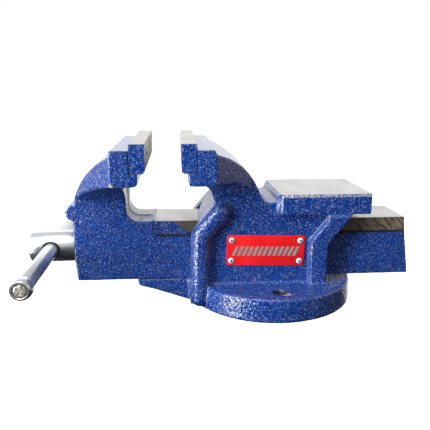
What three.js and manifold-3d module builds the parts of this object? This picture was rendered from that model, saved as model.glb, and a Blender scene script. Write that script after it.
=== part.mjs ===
// Bench vise with a fixed round base, an anvil behind the rear jaw and a sliding front jaw.
// Millimetres. +X runs from the front jaw to the back of the anvil, +Z is up, and the origin
// is the middle of the base's underside.
import * as THREE from "three";
import { mergeVertices } from "three/addons/utils/BufferGeometryUtils.js";
import Module from "manifold-3d";

const wasm = await Module();
wasm.setup();

// Driving dimensions
const GAP = 0.3; // left between pieces that touch

const JAW_HALF = 75; // half the jaw width
const PLATE_T = 14.2; // jaw plate thickness
const PLATE_Z0 = 142.5; // underside of the jaw plates
const PLATE_Z1 = 169.1; // top of the jaw plates
const PLATE_ROUND = 3;
const FRONT_FACE_X = -126.1; // gripping face of the front plate
const REAR_FACE_X = -93.8; // gripping face of the rear plate
const BLOCK_T = 17; // thickness of the cast block behind a plate
const BLOCK_Z0 = 130.8; // underside of the blocks
const BLOCK_Z1 = 163.2; // top of the blocks
const TOE = 7.6; // how far a block's toe reaches under its plate
const SCREW_Y = 42; // jaw plate screws, either side of the middle
const SCREW_Z = 155;
const SCREW_R = 4;
const SCREW_HEAD_R = 7.6;
const SCREW_HEAD_DEEP = 4.4;
const SCREW_LENGTH = 26;

const BASE_R = 85.4;
const BASE_TOP_R = 84.6;
const BASE_T = 23.5;
const BASE_EDGE = 1.6;
const POCKET_Z = 11; // depth of the hollow under the base
const POCKET_IN_R = 42;
const POCKET_OUT_R = 73;
const BOLT_Y = 64.5; // the two holes for bench bolts
const BOLT_R = 6.6;
const BOLT_BOSS_R = 14;

const HOUSING_HALF = 40; // half width of the housing's flat sides
const HOUSING_FRONT_X = -85.2;
const HOUSING_REAR_X = 50.3;
const FLANGE_HALF = 47.8; // half width over the rear flange
const FLANGE_W = 16.4;
const FLANGE_BEND_Z = 64.5;
const FLANGE_TOP_X = 74;
const RIB_R = 9.8; // round ribs on the front corners of the housing
const RIB_X = -75.9;
const RIB_FOOT_Z = 11;
const RIB_BEND_Z = 75.8;
const RIB_END_X = -56.2;
const RIB_END_Z = 98.4;
const CHIN_X = -62.8; // front of the rear jaw's neck
const CHIN_Z = 105.5;
const NOTCH_Y = 16; // relief beside the top of the slide opening

const ANVIL_X0 = 0;
const ANVIL_X1 = 93.2;
const ANVIL_HALF = 45.4;
const ANVIL_Z0 = 95.4;
const ANVIL_Z1 = 115.8;
const ANVIL_BEVEL = 4.8;

const ARCH_R = 70.7; // outer curve of the rear jaw
const ARCH_X = -83.4;
const ARCH_Z = 91.7;
const SADDLE_R = 10.2; // hollow between the rear jaw and the anvil
const SADDLE_X = -6.7;
const SADDLE_Z = 117.3;
const REAR_TAPER_X = -25.2; // where the head has narrowed to the housing's width

const FRONT_ARCH_R = 82.3; // outer curve of the front jaw
const FRONT_ARCH_X = -120.9;
const FRONT_ARCH_Z = 83.8;
const FRONT_TAPER_X = -197.4; // where the head has narrowed to the slide's width
const THROAT_X = -148.7; // back of the front jaw's neck
const THROAT_R = 12.5;
const JAW_BACK_X = -201;
const BEAD_R = 8; // moulding across the front of the moving casting
const BEAD_Z = 97.3;

const SLIDE_HALF = 28.7;
const SLIDE_TOP_HALF = 26.7; // the machined upper part is a little narrower
const SLIDE_Z0 = 27;
const SLIDE_Z1 = 87.3;
const SLIDE_STEP_Z = 73;
const SLIDE_STEP_X = -121.3;
const SLIDE_END_X = 135.4;
const SLIDE_FOOT_X = 143.1;
const CHANNEL_HALF = 20; // hollow inside the slide, open below and at the back
const CHANNEL_Z = 75;
const CHANNEL_X = -176;
const OPENING_PLAY = 0.6; // clearance between slide and housing
const TONGUE_X = -139.8;
const TONGUE_Z = 26.5;

const SPINDLE_Z = 56;
const SPINDLE_R = 11;
const SPINDLE_END_X = 105;
const HEAD_R = 16.4;
const HEAD_X0 = -250;
const HEAD_X1 = -201.6;
const HEAD_BEVEL = 2;
const CROSS_X = -227.7;
const CROSS_R = 8.2;
const BORE_R = 11.5;
const WASHER_R = 15.6;
const WASHER_T = 2.4;

const SPRING_X1 = -157;
const SPRING_OUT_R = 15;
const SPRING_IN_R = 11.6;
const SPRING_WASHER_T = 2.2;
const COTTER_R = 1.8;
const COTTER_REACH = 17;

const NUT_X0 = -48;
const NUT_X1 = -4;
const NUT_HALF = 17.4;
const NUT_TOP_R = 17.8;
const NUT_BORE_R = 11.4;
const NUT_BOLT_X = -26;
const NUT_BOLT_R = 5;
const NUT_BOLT_TOP = 41;
const NUT_BOLT_HEAD_R = 9;
const NUT_BOLT_HEAD_T = 6.4;
const COUNTERBORE_R = 12;
const COUNTERBORE_Z = 10;

const BAR_R = 7.4;
const BAR_HALF = 125; // half the handle's overall length
const CAP_LENGTH = 13;
const CAP_R = 9.8;
const CAP_FACE_R = 8;
const SPIGOT_R = 6.1;

const NAME_X = -10.9;
const NAME_Z = 58.8;
const NAME_W = 78.4;
const NAME_H = 31.2;
const NAME_T = 1.1;
const NAME_TURN = -1.5; // the plate sits very slightly turned, degrees
const RIVET_DX = 34.4;
const RIVET_DZ = 10.6;
const RIVET_R = 1.5;
const RIVET_HEAD_R = 3;
const RIVET_HEAD_T = 1.5;

const ROUND = 40; // sides of round parts

// Solids
function solid(geometry) {
  const plain = new THREE.BufferGeometry();
  const source = geometry.index ? geometry.toNonIndexed() : geometry;
  plain.setAttribute("position", source.getAttribute("position"));
  const merged = mergeVertices(plain, 1e-4);
  const mesh = new wasm.Mesh({
    numProp: 3,
    vertProperties: new Float32Array(merged.attributes.position.array),
    triVerts: new Uint32Array(merged.index.array),
  });
  return new wasm.Manifold(mesh);
}

// The same solid moved, turned or mirrored by a matrix.
function placed(one, matrix) {
  const { vertProperties, triVerts } = one.getMesh();
  const g = new THREE.BufferGeometry();
  g.setAttribute("position", new THREE.BufferAttribute(new Float32Array(vertProperties), 3));
  const order = Array.from(triVerts);
  g.setIndex(matrix.determinant() < 0 ? order.reverse() : order);
  g.applyMatrix4(matrix);
  return solid(g);
}

function at(one, x, y, z) {
  return placed(one, new THREE.Matrix4().makeTranslation(x, y, z));
}

// The mirror image across the plane through the origin that faces along one axis.
function mirrored(one, axis) {
  const flip = { x: [-1, 1, 1], y: [1, -1, 1] }[axis];
  return placed(one, new THREE.Matrix4().makeScale(...flip));
}

function extrude(shape, depth, curveSegments = 12) {
  return new THREE.ExtrudeGeometry(shape, { depth, bevelEnabled: false, curveSegments });
}

// A side view (x, z) given width along Y, the same either side of the middle.
function fromSide(shape, half, curveSegments) {
  const g = extrude(shape, 2 * half, curveSegments);
  g.translate(0, 0, -half);
  g.rotateX(Math.PI / 2);
  return solid(g);
}

// An end view (y, z) given length along X.
function fromEnd(shape, x0, x1, curveSegments) {
  const g = extrude(shape, x1 - x0, curveSegments);
  const toX = new THREE.Matrix4().makeBasis(
    new THREE.Vector3(0, 1, 0),
    new THREE.Vector3(0, 0, 1),
    new THREE.Vector3(1, 0, 0),
  );
  g.applyMatrix4(toX);
  g.translate(x0, 0, 0);
  return solid(g);
}

// A plan view (x, y) given height along Z.
function fromAbove(shape, z0, z1, curveSegments) {
  const g = extrude(shape, z1 - z0, curveSegments);
  g.translate(0, 0, z0);
  return solid(g);
}

function outline(points) {
  return new THREE.Shape(points.map(([a, b]) => new THREE.Vector2(a, b)));
}

function box(x0, x1, y0, y1, z0, z1) {
  const g = new THREE.BoxGeometry(x1 - x0, y1 - y0, z1 - z0);
  g.translate((x0 + x1) / 2, (y0 + y1) / 2, (z0 + z1) / 2);
  return solid(g);
}

// A turned piece: [radius, distance along the axis] pairs from one end to the other,
// closed through the axis, laid along the given direction.
function turnedGeometry(profile, axis, sides = ROUND) {
  const points = profile.map(([r, a]) => new THREE.Vector2(r, a));
  const g = new THREE.LatheGeometry(points, sides);
  if (axis === "z") {
    g.rotateX(Math.PI / 2);
  }
  if (axis === "x") {
    g.rotateZ(-Math.PI / 2);
  }
  return g;
}

function turned(profile, axis, sides) {
  return solid(turnedGeometry(profile, axis, sides));
}

function rod(r, a0, a1, axis, sides) {
  return turned([[0, a0], [r, a0], [r, a1], [0, a1]], axis, sides);
}

function ring(rIn, rOut, a0, a1, axis, sides) {
  return rod(rOut, a0, a1, axis, sides).subtract(rod(rIn, a0 - 1, a1 + 1, axis, sides));
}

// The head of a jaw: what its side view, end view and plan view have in common.
function jawHead(side, end, plan, x0, x1) {
  const tall = fromAbove(plan, BLOCK_Z0 - 40, BLOCK_Z1 + 5);
  return fromSide(side, JAW_HALF, 40).intersect(fromEnd(end, x0, x1)).intersect(tall);
}

// End view of a head: a neck that swells out under the full width of the block.
function headEnd(neckHalf, curveZ, flatHalf) {
  const s = new THREE.Shape();
  const z0 = BLOCK_Z0 - 36;
  const z1 = BLOCK_Z1 + 4;
  s.moveTo(-neckHalf, z0);
  s.lineTo(neckHalf, z0);
  s.lineTo(neckHalf, 108);
  s.quadraticCurveTo(neckHalf + 1.2, curveZ, flatHalf, BLOCK_Z0);
  s.lineTo(JAW_HALF, BLOCK_Z0);
  s.lineTo(JAW_HALF, z1);
  s.lineTo(-JAW_HALF, z1);
  s.lineTo(-JAW_HALF, BLOCK_Z0);
  s.lineTo(-flatHalf, BLOCK_Z0);
  s.quadraticCurveTo(-neckHalf - 1.2, curveZ, -neckHalf, 108);
  s.closePath();
  return s;
}

// Plan view of a head: full width over the block, narrowing away from the plate.
function headPlan(blockX, farX, neckHalf, taperX, endX) {
  return outline([
    [farX, -JAW_HALF],
    [farX, JAW_HALF],
    [blockX, JAW_HALF],
    [taperX, neckHalf],
    [endX, neckHalf],
    [endX, -neckHalf],
    [taperX, -neckHalf],
    [blockX, -JAW_HALF],
  ]);
}

// Points on a circle between two angles, in degrees.
function arc(cx, cz, r, from, to, steps) {
  const points = [];
  for (let i = 0; i <= steps; i += 1) {
    const t = THREE.MathUtils.degToRad(from + ((to - from) * i) / steps);
    points.push([cx + r * Math.cos(t), cz + r * Math.sin(t)]);
  }
  return points;
}

function angleOn(cx, cz, x, z) {
  return THREE.MathUtils.radToDeg(Math.atan2(z - cz, x - cx));
}

// The angle at which a circle crosses an upright line at x, on its upper side.
function angleAtX(cx, r, x) {
  return THREE.MathUtils.radToDeg(Math.acos((x - cx) / r));
}

// Two mirrored copies of a solid, either side of the middle plane.
function bothSides(one) {
  return one.add(mirrored(one, "y"));
}

// Holes for the countersunk screws behind a plate whose gripping face looks along dir.
function screwHoles(faceX, dir, radius, reach) {
  const from = faceX - dir * reach;
  const hole = rod(radius, Math.min(from, faceX + dir), Math.max(from, faceX + dir), "x", 20);
  return bothSides(at(hole, 0, SCREW_Y, SCREW_Z));
}

// Fixed casting
function fixedBody() {
  const rearBackX = REAR_FACE_X + PLATE_T + GAP;
  const blockBackX = rearBackX + BLOCK_T;
  const toeX = rearBackX - TOE - 1;
  const archStart = angleAtX(ARCH_X, ARCH_R, blockBackX);
  const archEnd = angleOn(ARCH_X, ARCH_Z, -16.2, 113.4);
  const saddleStart = angleOn(SADDLE_X, SADDLE_Z, -16.2, 113.4) + 360;

  const headSide = outline([
    [rearBackX, PLATE_Z0 + 20.7],
    [rearBackX, PLATE_Z0 - GAP],
    [toeX, PLATE_Z0 - GAP],
    [toeX, BLOCK_Z0 + 2],
    [toeX + 2, BLOCK_Z0],
    [toeX + 8, BLOCK_Z0],
    ...arc(CHIN_X - 21, CHIN_Z + 4, 21, 78, 0, 8),
    [CHIN_X, BLOCK_Z0 - 33],
    [-16, BLOCK_Z0 - 33],
    ...arc(ARCH_X, ARCH_Z, ARCH_R, archEnd, archStart, 20),
    [blockBackX, BLOCK_Z1 - 4],
    [blockBackX - 1.6, BLOCK_Z1],
    [rearBackX, BLOCK_Z1],
  ]);
  const headPlanShape = headPlan(blockBackX, toeX - 1, HOUSING_HALF, REAR_TAPER_X, -10);
  const head = jawHead(headSide, headEnd(HOUSING_HALF, 130, 66), headPlanShape, -110, 0);

  const housing = fromSide(
    outline([
      [HOUSING_FRONT_X - 1.6, 3],
      [HOUSING_FRONT_X, 74],
      [HOUSING_FRONT_X + 1.4, 80],
      [-80, 84.5],
      [CHIN_X, CHIN_Z],
      [CHIN_X, CHIN_Z + 4],
      [CHIN_X + 4, CHIN_Z + 10],
      ...arc(SADDLE_X, SADDLE_Z, SADDLE_R, saddleStart, 343, 12),
      [ANVIL_X0 + 6, ANVIL_Z1 - 3],
      [ANVIL_X0 + 6, ANVIL_Z0 + 8],
      [FLANGE_TOP_X, ANVIL_Z0 + 8],
      [FLANGE_TOP_X, ANVIL_Z0 - 1],
      [HOUSING_REAR_X, FLANGE_BEND_Z],
      [HOUSING_REAR_X, 3],
    ]),
    HOUSING_HALF,
  );
  const flange = fromSide(
    outline([
      [HOUSING_REAR_X - FLANGE_W, 12],
      [HOUSING_REAR_X - FLANGE_W, FLANGE_BEND_Z + 4.5],
      [HOUSING_REAR_X, ANVIL_Z0 - 6],
      [HOUSING_REAR_X, ANVIL_Z0 + 8],
      [FLANGE_TOP_X, ANVIL_Z0 + 8],
      [FLANGE_TOP_X, ANVIL_Z0 - 1],
      [HOUSING_REAR_X, FLANGE_BEND_Z],
      [HOUSING_REAR_X, 12],
    ]),
    ANVIL_HALF,
  ).add(
    fromSide(
      outline([
        [HOUSING_REAR_X - FLANGE_W, 12],
        [HOUSING_REAR_X - FLANGE_W, FLANGE_BEND_Z + 4.5],
        [HOUSING_REAR_X, ANVIL_Z0 - 6],
        [HOUSING_REAR_X, ANVIL_Z0 - 2],
        [FLANGE_TOP_X - 1, ANVIL_Z0 - 2],
        [HOUSING_REAR_X, FLANGE_BEND_Z],
        [HOUSING_REAR_X + 1, 12],
      ]),
      FLANGE_HALF,
    ),
  );

  const anvilPlan = outline([
    [ANVIL_X0, -ANVIL_HALF + ANVIL_BEVEL],
    [ANVIL_X0, ANVIL_HALF - ANVIL_BEVEL],
    [ANVIL_X0 + ANVIL_BEVEL, ANVIL_HALF],
    [ANVIL_X1, ANVIL_HALF],
    [ANVIL_X1, -ANVIL_HALF],
    [ANVIL_X0 + ANVIL_BEVEL, -ANVIL_HALF],
  ]);
  const anvilSide = outline([
    [ANVIL_X0, ANVIL_Z0],
    [ANVIL_X0, ANVIL_Z1 - 3.2],
    [ANVIL_X0 + ANVIL_BEVEL, ANVIL_Z1],
    [ANVIL_X1, ANVIL_Z1],
    [ANVIL_X1, ANVIL_Z0],
  ]);
  const anvil = fromAbove(anvilPlan, ANVIL_Z0 - 1, ANVIL_Z1 + 1).intersect(
    fromSide(anvilSide, ANVIL_HALF + 1),
  );

  const bend = new THREE.Vector3(RIB_X + 0.4, HOUSING_HALF, RIB_BEND_Z);
  const foot = new THREE.Vector3(RIB_X - 0.8, HOUSING_HALF, RIB_FOOT_Z);
  const end = new THREE.Vector3(RIB_END_X, HOUSING_HALF, RIB_END_Z);
  const rib = capsule(foot, bend, RIB_R).add(capsule(bend, end, RIB_R));

  const base = turned(
    [
      [0, 0],
      [BASE_R - 1, 0],
      [BASE_R, 1],
      [BASE_TOP_R, BASE_T - BASE_EDGE],
      [BASE_TOP_R - BASE_EDGE, BASE_T],
      [0, BASE_T],
    ],
    "z",
    72,
  );
  const tongue = fromSide(
    outline([
      [TONGUE_X, TONGUE_Z],
      [TONGUE_X + 0.6, TONGUE_Z - 4.5],
      [TONGUE_X + 3, TONGUE_Z - 7],
      [TONGUE_X + 19, TONGUE_Z - 11.5],
      [HOUSING_FRONT_X - 1.6, 3],
      [-20, 3],
      [-20, TONGUE_Z],
    ]),
    SLIDE_HALF,
  );

  const boss = bothSides(at(rod(BOLT_BOSS_R, -2, POCKET_Z + 1, "z"), 0, BOLT_Y, 0));
  const pocket = ring(POCKET_IN_R, POCKET_OUT_R, -1, POCKET_Z, "z", 48).subtract(boss);
  const boltHoles = bothSides(at(rod(BOLT_R, -1, BASE_T + 1, "z", 32), 0, BOLT_Y, 0));
  const opening = box(
    HOUSING_FRONT_X - 60,
    FLANGE_TOP_X + 40,
    -SLIDE_HALF - OPENING_PLAY,
    SLIDE_HALF + OPENING_PLAY,
    TONGUE_Z,
    SLIDE_Z1 + OPENING_PLAY,
  );
  const notch = fromEnd(
    outline([
      [NOTCH_Y - 11, SLIDE_Z1],
      [NOTCH_Y + 9, SLIDE_Z1 + 7.5],
      [NOTCH_Y + 12, SLIDE_Z1],
    ]),
    HOUSING_FRONT_X,
    CHIN_X + 2,
  );
  const nutHole = rod(NUT_BOLT_R + 0.5, -1, TONGUE_Z + 1, "z", 32).add(
    rod(COUNTERBORE_R, -1, COUNTERBORE_Z, "z", 32),
  );
  const rivetHole = rod(RIVET_R + GAP, -HOUSING_HALF - 2, -HOUSING_HALF + 7, "y", 14);

  let body = base.add(housing).add(head).add(flange).add(anvil).add(bothSides(rib));
  body = body.subtract(opening.intersect(box(-101, 130, -60, 60, 20, 100)));
  body = body.add(tongue).subtract(opening);
  body = body.subtract(pocket).subtract(boltHoles).subtract(notch);
  body = body.subtract(at(nutHole, NUT_BOLT_X, 0, 0));
  for (const [x, z] of rivetPlaces()) {
    body = body.subtract(at(rivetHole, x, 0, z));
  }
  return body.subtract(screwHoles(REAR_FACE_X, -1, SCREW_R + GAP, SCREW_LENGTH + 1));
}

// A round bar with domed ends between two points.
function capsule(a, b, r) {
  const along = new THREE.Vector3().subVectors(b, a);
  const g = new THREE.CapsuleGeometry(r, along.length(), 5, 16);
  const up = new THREE.Vector3(0, 1, 0);
  g.applyQuaternion(new THREE.Quaternion().setFromUnitVectors(up, along.clone().normalize()));
  g.translate((a.x + b.x) / 2, (a.y + b.y) / 2, (a.z + b.z) / 2);
  return solid(g);
}

// Moving casting
function movingJaw() {
  const plateBackX = FRONT_FACE_X - PLATE_T - GAP;
  const blockBackX = plateBackX - BLOCK_T;
  const toeX = plateBackX + TOE;
  const archStart = angleAtX(FRONT_ARCH_X, FRONT_ARCH_R, blockBackX);
  const archEnd = angleOn(FRONT_ARCH_X, FRONT_ARCH_Z, -198.5, 111.5);

  const headSide = outline([
    [plateBackX, BLOCK_Z1],
    [blockBackX, BLOCK_Z1],
    ...arc(FRONT_ARCH_X, FRONT_ARCH_Z, FRONT_ARCH_R, archStart, archEnd, 20),
    [-199.6, 104],
    [-199.6, BLOCK_Z0 - 33],
    [THROAT_X, BLOCK_Z0 - 33],
    [THROAT_X, BLOCK_Z0 - 6],
    [THROAT_X + 6, BLOCK_Z0],
    [toeX - 2.4, BLOCK_Z0],
    [toeX, BLOCK_Z0 + 2.4],
    [toeX, PLATE_Z0 - GAP],
    [plateBackX, PLATE_Z0 - GAP],
  ]);
  const plan = headPlan(blockBackX, toeX + 1, SLIDE_HALF, FRONT_TAPER_X, -206);
  const head = jawHead(headSide, headEnd(SLIDE_HALF, 119, 72), plan, -210, -120);

  const slide = fromSide(
    outline([
      [JAW_BACK_X + 1.4, SLIDE_Z0],
      [JAW_BACK_X - 0.6, 48],
      [JAW_BACK_X, 87],
      [-199.6, 104],
      [-199.2, 108],
      [THROAT_X, 108],
      ...arc(THROAT_X + THROAT_R, SLIDE_Z1 + THROAT_R, THROAT_R, 180, 270, 8),
      [SLIDE_END_X, SLIDE_Z1],
      [SLIDE_END_X + 1, SLIDE_STEP_Z],
      [SLIDE_FOOT_X, SLIDE_Z0],
    ]),
    SLIDE_HALF,
  );
  const bead = at(rod(BEAD_R, -SLIDE_HALF, SLIDE_HALF, "y", 32), JAW_BACK_X + 0.7, 0, BEAD_Z);
  const sideCut = bothSides(
    box(SLIDE_STEP_X, 160, SLIDE_TOP_HALF, SLIDE_HALF + 2, SLIDE_STEP_Z, SLIDE_Z1 + 2),
  );
  const channel = box(CHANNEL_X, 160, -CHANNEL_HALF, CHANNEL_HALF, SLIDE_Z0 - 2, CHANNEL_Z);
  const bore = rod(BORE_R, JAW_BACK_X - 5, CHANNEL_X + 5, "x").add(
    rod(WASHER_R + GAP, JAW_BACK_X - 5, JAW_BACK_X + WASHER_T + GAP, "x"),
  );
  const body = slide
    .add(bead)
    .subtract(sideCut)
    .subtract(channel)
    .subtract(at(bore, 0, 0, SPINDLE_Z))
    .add(head);
  return body.subtract(screwHoles(FRONT_FACE_X, 1, SCREW_R + GAP, SCREW_LENGTH + 1));
}

// Jaw plate whose gripping face looks along dir, with countersunk holes.
function jawPlate(faceX, dir) {
  const back = faceX - dir * PLATE_T;
  const bar = fromSide(
    outline([
      [back + dir * PLATE_ROUND, PLATE_Z0],
      [faceX - dir * PLATE_ROUND, PLATE_Z0],
      [faceX - dir * PLATE_ROUND * 0.3, PLATE_Z0 + PLATE_ROUND * 0.3],
      [faceX, PLATE_Z0 + PLATE_ROUND],
      [faceX, PLATE_Z1],
      [back, PLATE_Z1],
      [back, PLATE_Z0 + PLATE_ROUND],
      [back + dir * PLATE_ROUND * 0.3, PLATE_Z0 + PLATE_ROUND * 0.3],
    ]),
    JAW_HALF,
  );
  const r = SCREW_R + GAP;
  const headR = SCREW_HEAD_R + GAP;
  const hole = turned(
    [
      [0, -PLATE_T - 1],
      [r, -PLATE_T - 1],
      [r, -SCREW_HEAD_DEEP - 1.4],
      [headR, -1.4],
      [headR, 1],
      [0, 1],
    ],
    "x",
    20,
  );
  const facing = dir > 0 ? hole : mirrored(hole, "x");
  return bar.subtract(bothSides(at(facing, faceX, SCREW_Y, SCREW_Z)));
}

// Countersunk screw, its head just below the gripping face.
function jawScrew(faceX, dir, y) {
  const screw = turned(
    [
      [0, -SCREW_LENGTH],
      [SCREW_R - 0.8, -SCREW_LENGTH],
      [SCREW_R, -SCREW_LENGTH + 0.8],
      [SCREW_R, -SCREW_HEAD_DEEP - 1.2],
      [SCREW_HEAD_R, -1.6],
      [SCREW_HEAD_R, -1.2],
      [0, -1.2],
    ],
    "x",
    20,
  );
  const socket = rod(2.9, -3.8, 1, "x", 6);
  const whole = screw.subtract(socket);
  const facing = dir > 0 ? whole : mirrored(whole, "x");
  return at(facing, faceX, y, SCREW_Z);
}

function rivetPlaces() {
  const turn = THREE.MathUtils.degToRad(NAME_TURN);
  const places = [];
  for (const sz of [1, -1]) {
    for (const sx of [-1, 1]) {
      const dx = sx * RIVET_DX;
      const dz = sz * RIVET_DZ;
      const x = NAME_X + dx * Math.cos(turn) - dz * Math.sin(turn);
      const z = NAME_Z + dx * Math.sin(turn) + dz * Math.cos(turn);
      places.push([x, z]);
    }
  }
  return places;
}

function namePlate() {
  const y1 = -HOUSING_HALF - GAP;
  const flat = box(-NAME_W / 2, NAME_W / 2, y1 - NAME_T, y1, -NAME_H / 2, NAME_H / 2);
  const turn = new THREE.Matrix4().makeRotationY(THREE.MathUtils.degToRad(-NAME_TURN));
  let plate = at(placed(flat, turn), NAME_X, 0, NAME_Z);
  const hole = rod(RIVET_R + GAP, y1 - NAME_T - 1, y1 + 1, "y", 14);
  for (const [x, z] of rivetPlaces()) {
    plate = plate.subtract(at(hole, x, 0, z));
  }
  return plate;
}

function rivet(x, z) {
  const y = -HOUSING_HALF - GAP - NAME_T - GAP;
  const shape = turned(
    [
      [0, y - RIVET_HEAD_T + 0.5],
      [1.1, y - RIVET_HEAD_T + 0.5],
      [1.3, y - RIVET_HEAD_T],
      [2, y - RIVET_HEAD_T + 0.2],
      [RIVET_HEAD_R, y - 0.4],
      [RIVET_HEAD_R, y],
      [RIVET_R, y],
      [RIVET_R, -HOUSING_HALF + 5],
      [0, -HOUSING_HALF + 5],
    ],
    "y",
    14,
  );
  return at(shape, x, 0, z);
}

// Nut with a flat foot and a round top, bored for the spindle.
function spindleNut() {
  const s = new THREE.Shape();
  s.moveTo(-NUT_HALF, TONGUE_Z + GAP);
  s.lineTo(NUT_HALF, TONGUE_Z + GAP);
  s.lineTo(NUT_HALF, SPINDLE_Z);
  s.absarc(0, SPINDLE_Z, NUT_HALF, 0, Math.PI, false);
  s.closePath();
  const bore = at(rod(NUT_BORE_R, NUT_X0 - 1, NUT_X1 + 1, "x"), 0, 0, SPINDLE_Z);
  const bolt = rod(NUT_BOLT_R + GAP, TONGUE_Z - 1, NUT_BOLT_TOP + 1, "z", 32);
  return fromEnd(s, NUT_X0, NUT_X1, 20).subtract(bore).subtract(at(bolt, NUT_BOLT_X, 0, 0));
}

// Hexagon-headed bolt that comes up through the base into the nut.
function nutBolt() {
  const headTop = COUNTERBORE_Z - GAP - 1.6 - GAP;
  const shank = rod(NUT_BOLT_R, headTop - 1, NUT_BOLT_TOP, "z", 32);
  const head = rod(NUT_BOLT_HEAD_R, headTop - NUT_BOLT_HEAD_T, headTop, "z", 6);
  return at(head.add(shank), NUT_BOLT_X, 0, 0);
}

function nutBoltWasher() {
  const top = COUNTERBORE_Z - GAP;
  const disc = ring(NUT_BOLT_R + 0.4, COUNTERBORE_R - 1, top - 1.6, top, "z", 32);
  return at(disc, NUT_BOLT_X, 0, 0);
}

function thrustWasher() {
  const x0 = JAW_BACK_X - 0.1;
  return at(ring(SPINDLE_R + 0.4, WASHER_R, x0, x0 + WASHER_T, "x"), 0, 0, SPINDLE_Z);
}

function spindle() {
  const bar = turned(
    [
      [0, HEAD_X0],
      [HEAD_R - HEAD_BEVEL, HEAD_X0],
      [HEAD_R, HEAD_X0 + HEAD_BEVEL],
      [HEAD_R, HEAD_X1 - 0.6],
      [HEAD_R - 0.6, HEAD_X1],
      [SPINDLE_R, HEAD_X1],
      [SPINDLE_R, SPINDLE_END_X - 2.5],
      [SPINDLE_R - 2.5, SPINDLE_END_X],
      [0, SPINDLE_END_X],
    ],
    "x",
  );
  const cross = at(rod(CROSS_R, -HEAD_R - 2, HEAD_R + 2, "y", 40), CROSS_X, 0, 0);
  const cotter = rod(COTTER_R + GAP, -SPINDLE_R - 2, SPINDLE_R + 2, "y", 16);
  const whole = bar.subtract(cross).subtract(at(cotter, cotterX(), 0, 0));
  return at(whole, 0, 0, SPINDLE_Z);
}

function cotterX() {
  return SPRING_X1 + GAP + SPRING_WASHER_T + GAP + 2 * COTTER_R;
}

// The spring's envelope: a sleeve as long and as thick as the coil.
function spring() {
  const x0 = CHANNEL_X + GAP;
  return at(ring(SPRING_IN_R, SPRING_OUT_R, x0, SPRING_X1, "x", 32), 0, 0, SPINDLE_Z);
}

function springWasher() {
  const x0 = SPRING_X1 + GAP;
  const disc = ring(SPINDLE_R + 0.4, SPRING_OUT_R + 1, x0, x0 + SPRING_WASHER_T, "x", 32);
  return at(disc, 0, 0, SPINDLE_Z);
}

function cotterPin() {
  const pin = rod(COTTER_R, -COTTER_REACH, COTTER_REACH - 3.4, "y", 16);
  const eye = ring(COTTER_R * 0.8, COTTER_R * 2, -COTTER_R, COTTER_R, "z", 20);
  const whole = pin.add(at(eye, 0, COTTER_REACH - 2.6, 0));
  return at(whole, cotterX(), 0, SPINDLE_Z);
}

// Handle: a plain bar lying in the bottom of the cross hole, turned down at both ends.
function handleZ() {
  return SPINDLE_Z - (CROSS_R - BAR_R - GAP);
}

function handleBar() {
  const step = BAR_HALF - CAP_LENGTH;
  const bar = turned(
    [
      [0, -BAR_HALF],
      [SPIGOT_R - 0.8, -BAR_HALF],
      [SPIGOT_R, -BAR_HALF + 0.8],
      [SPIGOT_R, -step],
      [BAR_R, -step],
      [BAR_R, step],
      [SPIGOT_R, step],
      [SPIGOT_R, BAR_HALF - 0.8],
      [SPIGOT_R - 0.8, BAR_HALF],
      [0, BAR_HALF],
    ],
    "y",
    32,
  );
  return at(bar, CROSS_X, 0, handleZ());
}

function handleCap(side) {
  const inner = BAR_HALF - CAP_LENGTH + GAP;
  const outer = BAR_HALF - 0.4;
  const round = 2.6;
  const cap = turned(
    [
      [0, inner],
      [CAP_R - 1.2, inner],
      [CAP_R - 0.3, inner + 0.7],
      [CAP_R, inner + round],
      [CAP_R, outer - 2 * round],
      [CAP_R - 0.5, outer - round],
      [CAP_FACE_R, outer],
      [0, outer],
    ],
    "y",
    32,
  );
  const hole = rod(SPIGOT_R + GAP, inner - 1, outer + 1, "y", 32);
  const whole = cap.subtract(hole);
  const facing = side > 0 ? whole : mirrored(whole, "y");
  return at(facing, CROSS_X, 0, handleZ());
}

// Meshes
const PAINT = { color: 0x0f3f94, roughness: 0.35, metalness: 0.1 };
const STEEL = { color: 0x9a9c9d, roughness: 0.4, metalness: 0.9 };
const ZINC = { color: 0xcfd3d4, roughness: 0.25, metalness: 0.95 };
const PLATE = { color: 0xb9babb, roughness: 0.5, metalness: 0.85 };
const RED = { color: 0xd81c22, roughness: 0.4, metalness: 0.1 };
const DARK = { color: 0x3a3b3c, roughness: 0.6, metalness: 0.7 };
const IRON = { color: 0x77716b, roughness: 0.7, metalness: 0.6 };

const vise = new THREE.Group();
vise.name = "bench_vise";

function put(name, shape, look) {
  const { vertProperties, triVerts } = shape.getMesh();
  const g = new THREE.BufferGeometry();
  g.setAttribute("position", new THREE.BufferAttribute(new Float32Array(vertProperties), 3));
  g.setIndex(new THREE.BufferAttribute(new Uint32Array(triVerts), 1));
  g.computeVertexNormals();
  const mesh = new THREE.Mesh(g, new THREE.MeshStandardMaterial(look));
  mesh.name = name;
  vise.add(mesh);
}

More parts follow.
